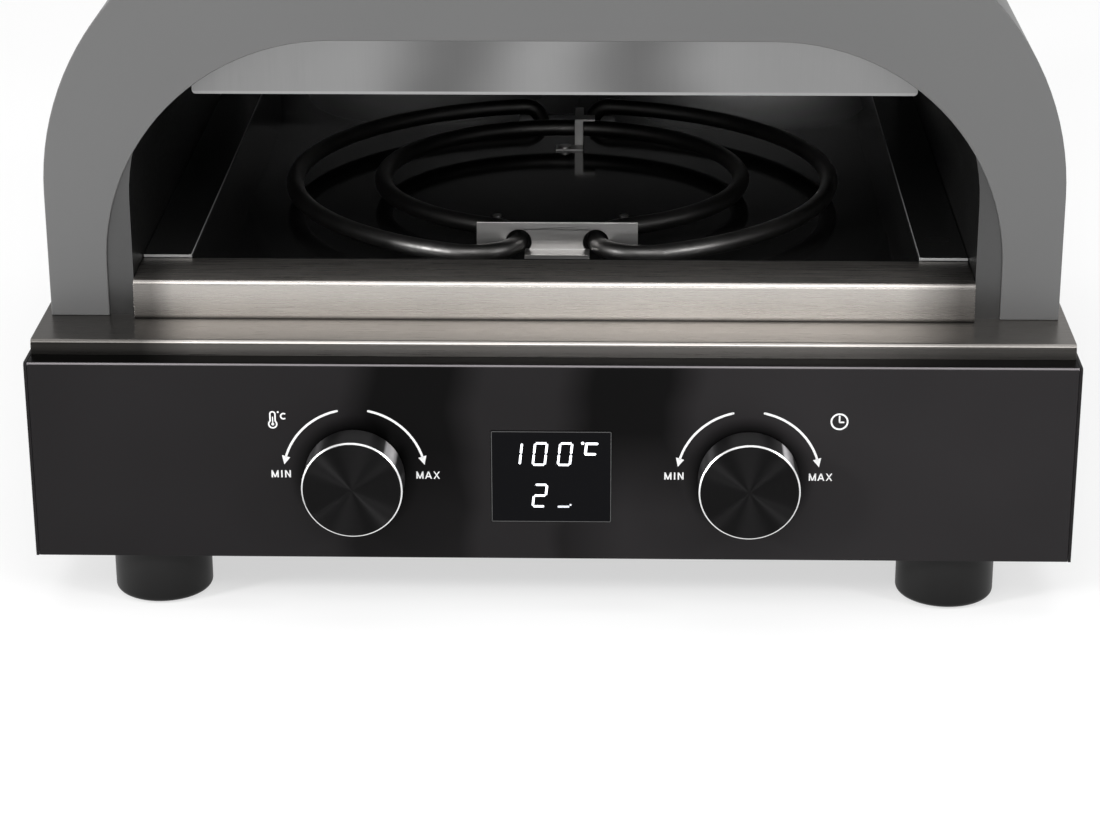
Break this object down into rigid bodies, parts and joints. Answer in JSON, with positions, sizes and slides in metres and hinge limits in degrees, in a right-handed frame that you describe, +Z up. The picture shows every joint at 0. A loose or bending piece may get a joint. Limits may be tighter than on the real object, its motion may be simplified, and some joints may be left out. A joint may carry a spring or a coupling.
{
  "type": "electric pizza oven",
  "caption": "Countertop electric pizza oven with an arched hood, an open mouth, a stepped steel front, bare lower heater rings and a panel with two turning knobs and a display.",
  "frame": {"origin": "on the worktop, in the middle of the part's width and depth", "axes": "+X to the right seen from the control panel, +Y from the panel to the rear, +Z up"},
  "size_m": [0.43, 0.4848, 0.29],
  "materials": {
    "foot_plastic": "fine-grained satin moulding",
    "pad_rubber": "matt",
    "zinc_steel": "zinc plated",
    "base_paint": "fine satin powder coat",
    "cover_paint": "matt powder coat",
    "display_glass": "tinted, polished",
    "module_body": "matt",
    "board_green": "solder-masked laminate",
    "standoff_brass": "turned",
    "encoder_metal": "die cast",
    "shaft_steel": "turned",
    "core_plastic": "matt",
    "knob_metal": "black anodised, spun face, bright-cut chamfer",
    "relay_plastic": "satin",
    "terminal_plastic": "matt",
    "wire_jacket": "silicone jacket",
    "gland_plastic": "matt",
    "galvanised": "galvanised",
    "wool": "ceramic fibre",
    "steel_deck": "fine cross-brushed stainless",
    "enamel": "glossy black enamel",
    "rest_black": "heat-proof satin black",
    "element_steel": "annealed dark sheath",
    "bracket_steel": "rolled",
    "strap_steel": "heat darkened",
    "ceramic_bead": "steatite",
    "liner_black": "heat-proof satin black",
    "hood_paint": "fine satin grey coat",
    "baffle_steel": "fine brushed stainless",
    "print_ink": "screen print"
  },
  "bodies": {
    "housing": {"foot_front_left": "foot_plastic", "foot_front_right": "foot_plastic", "foot_rear_left": "foot_plastic", "foot_rear_right": "foot_plastic", "foot_pads": "pad_rubber", "foot_screws": "zinc_steel", "bottom_cover": "cover_paint", "bottom_screws": "zinc_steel", "base_shell": "base_paint", "control_panel": "base_paint", "display_window": "display_glass", "display_module": "module_body", "control_board": "board_green", "board_standoffs": "standoff_brass", "encoder_left": "encoder_metal", "encoder_right": "encoder_metal", "encoder_nuts": "zinc_steel", "relay_board": "board_green", "board_parts": "relay_plastic", "relay_standoffs": "standoff_brass", "terminal_block": "terminal_plastic", "internal_wires": "wire_jacket", "cable_gland": "gland_plastic", "gland_nut": "gland_plastic", "insulation_tray": "galvanised", "lower_insulation": "wool", "deck_plate": "steel_deck", "landing": "steel_deck", "heater_well": "enamel", "stone_rest_left": "rest_black", "stone_rest_right": "rest_black", "lower_heater": "element_steel", "heater_bracket": "bracket_steel", "rear_strap": "strap_steel", "well_rivets": "bracket_steel", "terminal_plate": "galvanised", "heater_insulators": "ceramic_bead", "thermal_cutout": "ceramic_bead", "cavity_liner": "liner_black", "temperature_probe": "shaft_steel", "upper_heater": "element_steel", "upper_hangers": "bracket_steel", "hood_insulation": "wool", "baffle": "baffle_steel", "hood_front": "hood_paint", "hood_shell": "hood_paint", "hood_rear": "cover_paint", "rear_screws": "zinc_steel"},
    "knob_left_set": {"encoder_shaft_left": "shaft_steel", "knob_core_left": "core_plastic", "knob_left": "knob_metal"},
    "knob_right_set": {"encoder_shaft_right": "shaft_steel", "knob_core_right": "core_plastic", "knob_right": "knob_metal"}
  },
  "joints": [
    {"name": "knob_left_turn", "type": "hinge", "parent": "housing", "child": "knob_left_set", "pos_m": [-0.0809, -0.2266, 0.0616], "axis": [0, 1, 0], "continuous": true},
    {"name": "knob_right_turn", "type": "hinge", "parent": "housing", "child": "knob_right_set", "pos_m": [0.0809, -0.2266, 0.0616], "axis": [0, 1, 0], "continuous": true}
  ]
}
